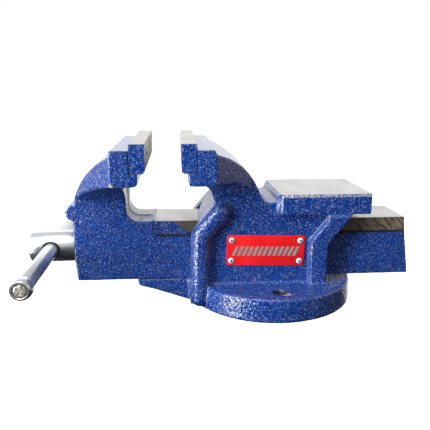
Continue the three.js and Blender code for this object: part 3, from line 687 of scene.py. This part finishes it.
def moving_casting():
    """The front jaw. Its sides are cut before its top, as the other way round leaves an empty mesh."""
    body = copy_of("moving_jaw", "moving_casting", [PAINT, SLIDE_STEEL, SIDE_BAND, GROOVE_STEEL, PAINTED_SHADE])
    combine(body, spare_metal(), "UNION")
    cast_skin(body, 1)
    waver(body, WAVE_HEIGHT, WAVE_LENGTH)
    high = SLIDE_TOP + REACH
    ramp = (SLIDE_STEP_X - 2.5 * MM, SLIDE_STEP_X + 2 * MM)  # where the ground side runs out into the paint
    for side in (-1, 1):
        edge, outer = side * SLIDE_TOP_HALF, side * (SLIDE_HALF + 5 * MM)
        plan = [(ramp[0], side * SLIDE_HALF), (ramp[1], edge), (FAR, edge), (FAR, outer), (ramp[0], outer)]
        loops = [[Vector((x, y, z)) for x, y in plan] for z in (SLIDE_STEP_Z, high)]
        combine(body, loft("cut_side", loops, [SIDE_BAND]), "DIFFERENCE")
    top = box("cut_top", (SLIDE_STEP_X, -0.1, SLIDE_TOP), (FAR, 0.1, high + MM), SLIDE_STEEL)
    combine(body, top, "DIFFERENCE")
    # A groove along the foot of each ground side, its faces near black as painted shade
    for side in (-1, 1):
        across = sorted((side * (SLIDE_TOP_HALF - 1.2 * MM), side * (SLIDE_HALF + 5 * MM)))
        low = (ramp[1], across[0], SLIDE_STEP_Z - 1.3 * MM)
        combine(body, box("groove", low, (FAR, across[1], SLIDE_STEP_Z + 0.6 * MM), PAINTED_SHADE), "DIFFERENCE")
    combine(body, seat("seat", FRONT_FACE_X, 1), "DIFFERENCE")
    combine(body, parting_line(), "UNION")
    return place(body, "front_jaw", ["moving_jaw"], 40)


# ---------------------------------------------------------------- jaw plates

def plate_profile(face_x, side, inset):
    """Side outline of a jaw plate, going round; the lower corners are round, the upper ones broken."""
    length = PLATE_T - SEAT_GAP
    low, high = PLATE_Z[0] + inset, PLATE_Z[1] - inset
    r, c = PLATE_ROUND, 0.35 * MM
    near, far = inset, length - inset
    points = [(near, high - c), (near + c, high), (far - c, high), (far, high - c)]
    points += arc_points((far - r, low + r), r, 0, -90, 6)
    points += arc_points((near + r, low + r), r, -90, -180, 6)
    return [(face_x - side * (length - u), z) for u, z in points]


def serrate(bm, face_x, side):
    """Cuts the gripping face into a grid and sinks every other point, which leaves four-sided teeth."""
    on_face = lambda v: abs(v.co.x - face_x) < 1e-6
    face = max((f for f in bm.faces if all(on_face(v) for v in f.verts)), key=lambda f: f.calc_area())
    low = Vector([min(v.co[i] for v in face.verts) for i in range(3)])
    high = Vector([max(v.co[i] for v in face.verts) for i in range(3)])
    cuts = [0, round((high.y - low.y) / TOOTH), round((high.z - low.z) / TOOTH)]
    step = [0, (high.y - low.y) / cuts[1], (high.z - low.z) / cuts[2]]
    for axis in (1, 2):
        across = 3 - axis
        edges = []
        for edge in bm.edges:
            a, b = edge.verts
            if on_face(a) and on_face(b) and abs(a.co[across] - b.co[across]) < 1e-7:
                edges.append(edge)
        bmesh.ops.subdivide_edges(bm, edges=edges, cuts=cuts[axis] - 1, use_grid_fill=True)

    def spot(v):
        return round((v.co.y - low.y) / step[1]), round((v.co.z - low.z) / step[2])

    cells = [f for f in bm.faces if len(f.verts) == 4 and all(on_face(v) for v in f.verts)]
    sunk = {v for f in cells for v in f.verts if sum(spot(v)) % 2}
    for cell in cells:
        pair = [v for v in cell.verts if v in sunk]
        if len(pair) == 2:
            bmesh.utils.face_split(cell, *pair)
    for v in sunk:
        i, j = spot(v)
        if 0 < i < cuts[1] and 0 < j < cuts[2]:
            v.co.x -= side * TOOTH_DEPTH


def jaw_plate(node, body, face_x, side):
    """A plate with teeth on its face, painted ends and two screws. side is where the gap is."""
    loops = []
    bevel = 0.3 * MM
    for y, inset in ((-1, bevel), (-1, 0), (1, 0), (1, bevel)):
        at_y = y * (JAW_HALF - (0 if inset else bevel))
        loops.append([Vector((x, at_y, z)) for x, z in plate_profile(face_x, side, inset)])
    plate = loft("plate", loops, [PLATE_STEEL, SERRATED, PAINT])
    bm = bmesh.new()
    bm.from_mesh(plate.data)
    serrate(bm, face_x, side)
    for face in bm.faces:
        middle = face.calc_center_median()
        if abs(middle.y) > JAW_HALF - 0.35 * MM:
            face.material_index = 2
        elif side * (face_x - middle.x) < TOOTH_DEPTH and abs(face.normal.z) < 0.9:
            face.material_index = 1
    bpy.data.objects.remove(plate)
    plate = from_bmesh(node + "_detailed", bm, [PLATE_STEEL, SERRATED, PAINT])
    for y in (-SCREW_Y, SCREW_Y):
        depth = (-PLATE_T - MM, -SCREW_HEAD_DEEP - 1.4 * MM, -1.4 * MM, MM)
        thin, wide = SCREW_R + SCREW_PLAY, SCREW_HEAD_R + SCREW_PLAY
        radii = (thin, thin, wide, wide)
        profile = [(r, side * a) for r, a in zip(radii, depth)]
        cutter = turned("hole", profile, "x", 48, [PLATE_STEEL], (face_x, y, SCREW_Z))
        combine(plate, cutter, "DIFFERENCE")
    place(plate, body, [node], 30)
    jaw = node.removesuffix("_plate")
    for y, end in ((-SCREW_Y, "near"), (SCREW_Y, "far")):
        jaw_screw(f"{jaw}_screw_{end}", body, face_x, side, y)


def jaw_screw(node, body, face_x, side, y):
    """Countersunk screw with a six-sided socket."""
    r, head = SCREW_R, SCREW_HEAD_R
    profile = [
        (r - 0.8 * MM, -SCREW_LENGTH),
        (r, -SCREW_LENGTH + 0.8 * MM),
        (r, -SCREW_HEAD_DEEP - 1.2 * MM),
        (head, -1.7 * MM),
        (head, -1.4 * MM),
        (head - 0.25 * MM, -1.2 * MM),
        (3.4 * MM, -1.2 * MM),
        (2.9 * MM, -1.5 * MM),
    ]
    centre = (face_x, y, SCREW_Z)
    screw = turned(node + "_turned", [(q, side * a) for q, a in profile], "x", 48, [BLACK_STEEL], centre)
    socket = [(2.9 * MM, -4.2 * MM * side), (2.9 * MM, MM * side)]
    combine(screw, turned("socket", socket, "x", 6, [BLACK_STEEL], centre), "DIFFERENCE")
    place(screw, body, [node], 30)


# ---------------------------------------------------------------- spindle and handle

def thread_radius(x, t):
    """Radius of a trapezoidal thread at distance x along it and angle t about it."""
    turn = (x / THREAD_PITCH - t / (2 * math.pi)) % 1.0
    rise = min(max((abs(turn - 0.5) - 0.14) / 0.16, 0.0), 1.0)
    fade = min(max((x - THREAD_START) / (2 * MM), 0), 1) * min(max((SPINDLE_END_X - x) / (2 * MM), 0), 1)
    return SPINDLE_R - THREAD_DEPTH * rise * fade


def spindle():
    """The head with its cross hole, the shank and the thread, in one lofted bar."""
    sides = 48
    start, end = HEAD_X
    bevel = HEAD_BEVEL
    thread_length = SPINDLE_END_X - 2.5 * MM - THREAD_START
    rows = [(HEAD_R - bevel, start), (HEAD_R - 0.7 * bevel, start + 0.1 * bevel)]
    rows += [(HEAD_R - 0.3 * bevel, start + 0.4 * bevel), (HEAD_R, start + bevel)]
    rows += [(HEAD_R, end - 1.2 * MM), (HEAD_R - 0.3 * MM, end - 0.4 * MM), (HEAD_R - MM, end)]
    rows += [(SPINDLE_R + 0.2 * MM, end), (SPINDLE_R, end + 0.2 * MM)]
    loops = [around("x", (0, 0, SPINDLE_Z), r, x, sides) for r, x in rows]
    count = round(thread_length / THREAD_PITCH * (12))
    for k in range(count + 1):
        x = THREAD_START + thread_length * k / count
        loops.append(around("x", (0, 0, SPINDLE_Z), lambda t, x=x: thread_radius(x, t), x, sides))
    loops.append(around("x", (0, 0, SPINDLE_Z), SPINDLE_R - THREAD_DEPTH - 0.5 * MM, SPINDLE_END_X, sides))
    bar = loft("spindle_threaded", loops, [ZINC])
    r, out = CROSS_R, HEAD_R + 2 * MM
    waist = math.sqrt(HEAD_R**2 - CROSS_R**2)
    profile = [(r + 3 * MM, -out), (r + 0.5 * MM, -waist), (r, -waist + 1.2 * MM)]
    profile += [(q, -a) for q, a in reversed(profile)]
    cross = turned("cross", profile, "y", 64, [ZINC_DARK], (CROSS_X, 0, SPINDLE_Z))
    combine(bar, cross, "DIFFERENCE")
    pin = [(COTTER_R + 0.3 * MM, -SPINDLE_R - 2 * MM), (COTTER_R + 0.3 * MM, SPINDLE_R + 2 * MM)]
    combine(bar, turned("pin", pin, "y", 24, [ZINC_DARK], (COTTER_X, 0, SPINDLE_Z)), "DIFFERENCE")
    place(bar, "spindle", ["spindle_screw"], 30)


def coil_spring():
    """Round wire wound round the spindle, its end turns closed up."""
    turns, steps = 4.2, 40
    wire = (SPRING_OUT_R - SPRING_IN_R) / 2
    middle = (SPRING_OUT_R + SPRING_IN_R) / 2
    low, high = SPRING_X[0] + wire, SPRING_X[1] - wire
    points = []
    for k in range(int(turns * steps) + 1):
        t = k / steps
        share = min(max((t - 0.7) / (turns - 1.4), 0.0), 1.0)
        a = 2 * math.pi * t
        x = low + (high - low) * share
        points.append(Vector((x, middle * math.cos(a), SPINDLE_Z + middle * math.sin(a))))
    place(tube("spring_coil", points, wire, 14, [BLACK_STEEL]), "spindle", ["spindle_spring"])


def split_pin():
    """Two legs side by side, an eye at one end and the legs opened a little at the other."""
    z = SPINDLE_Z
    legs = []
    for side in (-1, 1):
        off = side * 0.85 * MM
        spread = side * 2.2 * MM
        path = [
            Vector((COTTER_X + spread * 0.5, -COTTER_REACH, z)),
            Vector((COTTER_X + spread * 0.35, -COTTER_REACH + 2 * MM, z)),
            Vector((COTTER_X + off, -SPINDLE_R - MM, z)),
            Vector((COTTER_X + off, SPINDLE_R + 0.5 * MM, z)),
        ]
        for k in range(2, 9):
            t = math.pi * k / 8
            y = COTTER_REACH - 2.6 * MM - 2.4 * MM * math.cos(t)
            path.append(Vector((COTTER_X + 2.6 * MM * math.sin(t) * side, y, z)))
        legs.append(tube("leg", path, 0.85 * MM, 12, [ZINC]))
    combine(legs[0], legs[1], "UNION")
    legs[0].name = "split_pin"
    place(legs[0], "spindle", ["cotter_pin"])


def washer(node, body, outer, span):
    """A flat ring round the spindle, its edges broken."""
    inner = SPINDLE_R + WASHER_PLAY
    x0, x1 = span
    e = 0.25 * MM
    profile = [(inner + e, x0), (outer - e, x0), (outer, x0 + e), (outer, x1 - e)]
    profile += [(outer - e, x1), (inner + e, x1), (inner, x1 - e), (inner, x0 + e)]
    ring = turned(node + "_turned", profile, "x", 64, [ZINC], (0, 0, SPINDLE_Z), closed=True)
    place(ring, body, [node], 30)


def crumbled(radius, along, side, seed):
    """Loops of the rough end of the bar, where it was closed over the cap."""
    loops = []
    for share in (1.0, 0.92, 0.8, 0.66, 0.52, 0.38, 0.24, 0.1):
        loop = []
        for point in around("y", (CROSS_X, 0, HANDLE_Z), radius * share, 0, 48):
            offset = Vector((point.x * 480, seed, point.z * 480))
            lump = noise.noise(offset) + 0.5 * noise.noise(offset * 2.3)
            edge = 0.9 * MM * max(0.0, share - 0.86) / 0.14
            depth = 0.42 * MM * lump + edge
            loop.append(Vector((point.x, side * (along - 0.35 * MM - max(0.0, depth)), point.z)))
        loops.append(loop)
    return loops


def handle():
    """The bar, thinner where its caps sit and rough at both ends, and the two caps."""
    step = BAR_HALF - CAP_LENGTH
    core = SPIGOT_R - 0.6 * MM
    centre = (CROSS_X, 0, HANDLE_Z)
    rows = [(core, -BAR_HALF + 2.4 * MM), (core, -step - 0.1 * MM)]
    rows += [(BAR_R - 0.5 * MM, -step), (BAR_R, -step + 0.6 * MM)]
    rows += [(r, -a) for r, a in reversed(rows)]
    middle = [around("y", centre, r, a, 48) for r, a in rows]
    left = list(reversed(crumbled(core, BAR_HALF, -1, 0.0)))
    right = crumbled(core, BAR_HALF, 1, 7.0)
    loops = left + middle + right
    rough = len(left)
    band = lambda i: 1 if i < rough or i >= len(loops) - rough - 1 else 0
    bar = loft("handle_bar_drawn", loops, [ZINC, ROUGH_END], band_of=band)
    place(bar, "handle", ["handle_bar"], 50)
    for side, end in ((-1, "near"), (1, "far")):
        inner, outer = step + 0.3 * MM, BAR_HALF - 0.4 * MM
        profile = [
            (SPIGOT_R - 0.3 * MM, inner),
            (CAP_R - 1.7 * MM, inner),
            (CAP_R - 0.9 * MM, inner + 0.6 * MM),
            (CAP_R - 0.25 * MM, inner + 2.2 * MM),
            (CAP_R, inner + 4.6 * MM),
            (CAP_R - 0.1 * MM, inner + 7.2 * MM),
            (CAP_R - 0.6 * MM, outer - 2.4 * MM),
            (CAP_R - 1.3 * MM, outer - 0.6 * MM),
            (CAP_R - 1.9 * MM, outer),
            (SPIGOT_R + 0.5 * MM, outer),
            (SPIGOT_R + 0.1 * MM, outer - 0.4 * MM),
            (SPIGOT_R + 0.05 * MM, outer - 1.8 * MM),
            (SPIGOT_R - 0.3 * MM, outer - 2.6 * MM),
        ]
        band = lambda i: 1 if i > 9 else 0
        rows = [(r, side * a) for r, a in profile]
        cap = turned(f"handle_cap_{end}_turned", rows, "y", 64, [ZINC, ZINC_DARK], centre, True, band)
        place(cap, "handle", [f"handle_cap_{end}"], 40)


# ---------------------------------------------------------------- name plate

def on_plate(u, v, y):
    """A point of the name plate, u to the right and v up from its middle."""
    c, s = math.cos(NAME_TURN), math.sin(NAME_TURN)
    return Vector((NAME_AT[0] + u * c - v * s, y, NAME_AT[1] + u * s + v * c))


def name_plate():
    """The red plate with its band of slanted bars and four rivets."""
    back = -HOUSING_HALF - 0.3 * MM
    front = back - NAME_T
    width, height = NAME_SIZE
    loops = []
    for y, inset in ((back, 0), (front + 0.3 * MM, 0), (front + 0.08 * MM, 0.1 * MM), (front, 0.3 * MM)):
        outline = rounded(width - 2 * inset, height - 2 * inset, 1.4 * MM - inset)
        loops.append([on_plate(u, v, y) for u, v in outline])
    place(loft("plate_enamelled", loops, [RED]), "vise_body", ["name_plate"], 30)

    band, slant = MOTIF_HEIGHT, 0.42
    pitch = MOTIF_WIDTH / MOTIF_BARS
    for k in range(MOTIF_BARS):
        u = (k - (MOTIF_BARS - 1) / 2) * pitch
        wide = pitch * 0.56
        corners = [(-wide / 2, -band / 2), (wide / 2, -band / 2), (wide / 2, band / 2), (-wide / 2, band / 2)]
        outline = [(u + a + slant * b, b - 0.6 * MM) for a, b in corners]
        raised = [[on_plate(a, b, y) for a, b in outline] for y in (front + 0.1 * MM, front - 0.12 * MM)]
        place(loft(f"plate_hatch_{k + 1}", raised, [MOTIF]), "vise_body", ())

    number = 0
    for v in (RIVET_DZ, -RIVET_DZ):
        for u in (-RIVET_DX, RIVET_DX):
            number += 1
            place_rivet(number, on_plate(u, v, front - 0.3 * MM))


def place_rivet(number, at):
    """Round-headed drive screw with a dimple in its head, the dimple coloured dark steel as painted shade."""
    r, t = RIVET_HEAD_R, RIVET_HEAD_T
    rows = [(0.12 * r, t * 0.52), (0.3 * r, t * 0.56), (0.38 * r, t * 0.95), (0.46 * r, t)]
    rows += [(r * math.cos(a), t * (0.1 + 0.88 * math.sin(a))) for a in (1.0, 0.75, 0.5, 0.25, 0.0)]
    rows += [(r - 0.1 * MM, 0.0), (RIVET_R, 0.0), (RIVET_R, -6 * MM)]
    # The dimple's first rows take dark steel: painted shade in the hollow
    dark = lambda i: 1 if i < 2 else 0
    profile = [(q, -a) for q, a in rows]
    rivet = turned(f"rivet_{number}", profile, "y", 32, [RIVET, BLACK_STEEL], at, band_of=dark)
    place(rivet, "vise_body", [f"name_plate_rivet_{number}"], 50)


# ---------------------------------------------------------------- nut and its bolt

def bevelled(node, body, material, width):
    """A CAD node as it is, with its edges broken."""
    piece = copy_of(node, node + "_bevelled", [material])
    modify(piece, "BEVEL", width=width, segments=2, limit_method="ANGLE", angle_limit=math.radians(40))
    place(piece, body, [node], 35)


fixed_casting()
moving_casting()
jaw_plate("rear_jaw_plate", "vise_body", REAR_FACE_X, -1)
jaw_plate("front_jaw_plate", "front_jaw", FRONT_FACE_X, 1)
spindle()
coil_spring()
split_pin()
washer("thrust_washer", "front_jaw", THRUST_WASHER_R, THRUST_WASHER_X)
washer("spring_washer", "spindle", SPRING_WASHER_R, SPRING_WASHER_X)
handle()
name_plate()
bevelled("spindle_nut", "vise_body", IRON, 0.8 * MM)
bevelled("nut_bolt", "vise_body", BLACK_STEEL, 0.5 * MM)
bevelled("nut_bolt_washer", "vise_body", ZINC, 0.25 * MM)


# ---------------------------------------------------------------- stage

EYE = Vector((-0.0973, -0.526, 0.2169))
YAW = 0.0733  # to the right of straight ahead, in radians
PITCH = 0.2433  # downwards, in radians
LENS_MM = 43.0
SENSOR_MM = 36.0
WARM = (1.0, 0.84, 0.68)
MIDDLE = (-0.05, 0, 0.09)  # where the lights aim
ROOM_LIGHT = 0.20  # brightness of the room for plain surfaces
LOW_MIRRORED = 0.01  # and as shiny surfaces show it, below the horizon
HIGH_MIRRORED = 0.7  # and above it
HORIZON = (0.02, 0.35)  # how far up the mirrored room turns from dark to bright
FLOOR_GLOW = 0.95
FLOOR_HALF = 40.0


def add_camera():
    """The photo's camera."""
    data = bpy.data.cameras.new("camera")
    data.lens = LENS_MM
    data.sensor_width = SENSOR_MM
    data.clip_start = 0.01
    camera = bpy.data.objects.new("camera", data)
    flat = math.cos(PITCH)
    look = Vector((math.sin(YAW) * flat, math.cos(YAW) * flat, -math.sin(PITCH)))
    camera.rotation_euler = look.to_track_quat("-Z", "Y").to_euler()
    camera.location = EYE
    bpy.context.scene.collection.objects.link(camera)
    bpy.context.scene.camera = camera


def add_panel(name, place_at, aim, size, watts, colour=(1, 1, 1)):
    """A soft box that the camera doesn't see. Places and sizes are in metres."""
    data = bpy.data.lights.new(name, "AREA")
    data.shape = "RECTANGLE"
    data.size, data.size_y = size
    data.energy = watts
    data.color = colour
    light = bpy.data.objects.new(name, data)
    light.location = place_at
    light.rotation_euler = (Vector(aim) - Vector(place_at)).to_track_quat("-Z", "Y").to_euler()
    light.visible_camera = False
    bpy.context.scene.collection.objects.link(light)


def add_world():
    """A white room. Shiny surfaces show it bright above the horizon and dark below."""
    world = bpy.data.worlds.new("studio")
    bpy.context.scene.world = world
    world.use_nodes = True
    tree = world.node_tree
    back = tree.nodes["Background"]
    back.inputs["Color"].default_value = (1, 1, 1, 1)

    def value(kind, inputs, **settings):
        node = tree.nodes.new(kind)
        for key, item in settings.items():
            setattr(node, key, item)
        for key, item in inputs.items():
            if isinstance(item, bpy.types.NodeSocket):
                tree.links.new(item, node.inputs[key])
            else:
                node.inputs[key].default_value = item
        return node

    path = tree.nodes.new("ShaderNodeLightPath").outputs
    ray = tree.nodes.new("ShaderNodeTexCoord").outputs["Generated"]
    height = value("ShaderNodeSeparateXYZ", {"Vector": ray}).outputs["Z"]
    horizon = {"Value": height, "From Min": HORIZON[0], "From Max": HORIZON[1]}
    horizon.update({"To Min": LOW_MIRRORED, "To Max": HIGH_MIRRORED})
    sky = value("ShaderNodeMapRange", horizon).outputs["Result"]
    mixed = value("ShaderNodeMix", {0: path["Is Glossy Ray"], 2: ROOM_LIGHT, 3: sky}).outputs[0]
    mixed = value("ShaderNodeMix", {0: path["Is Camera Ray"], 2: mixed, 3: 1.0}).outputs[0]
    tree.links.new(mixed, back.inputs["Strength"])


def add_floor():
    """A pale ground that glows a little, so that it reads as white paper."""
    n = Nodes("pale_floor")
    soft = n.noise(3.0, detail=2.0)
    tone = n.mix(soft, rgb(0.90, 0.90, 0.90), rgb(0.92, 0.92, 0.92))
    n.set(Base_Color=tone, Roughness=0.9, Specular_IOR_Level=0.1)
    n.set(Emission_Color=tone, Emission_Strength=FLOOR_GLOW)
    bm = bmesh.new()
    bmesh.ops.create_grid(bm, x_segments=2, y_segments=2, size=FLOOR_HALF)
    floor = from_bmesh("floor", bm, [n.material])
    floor.visible_glossy = False
    floor.visible_diffuse = False


add_camera()
add_world()
add_floor()
add_panel("key", (-1.3, -0.85, 0.3), MIDDLE, (0.4, 2.0), 62)
add_panel("back", (0.0, 1.7, 0.4), (0.0, 0.0, 0.4), (5.0, 2.6), 45)
add_panel("left", (-1.7, 0.1, 0.35), MIDDLE, (1.4, 1.2), 5)
add_panel("right", (1.7, 0.0, 0.35), MIDDLE, (1.4, 1.2), 4, WARM)
add_panel("top", (-0.4, -0.6, 1.3), MIDDLE, (0.8, 0.8), 12)
bpy.context.scene.view_settings.view_transform = "Standard"
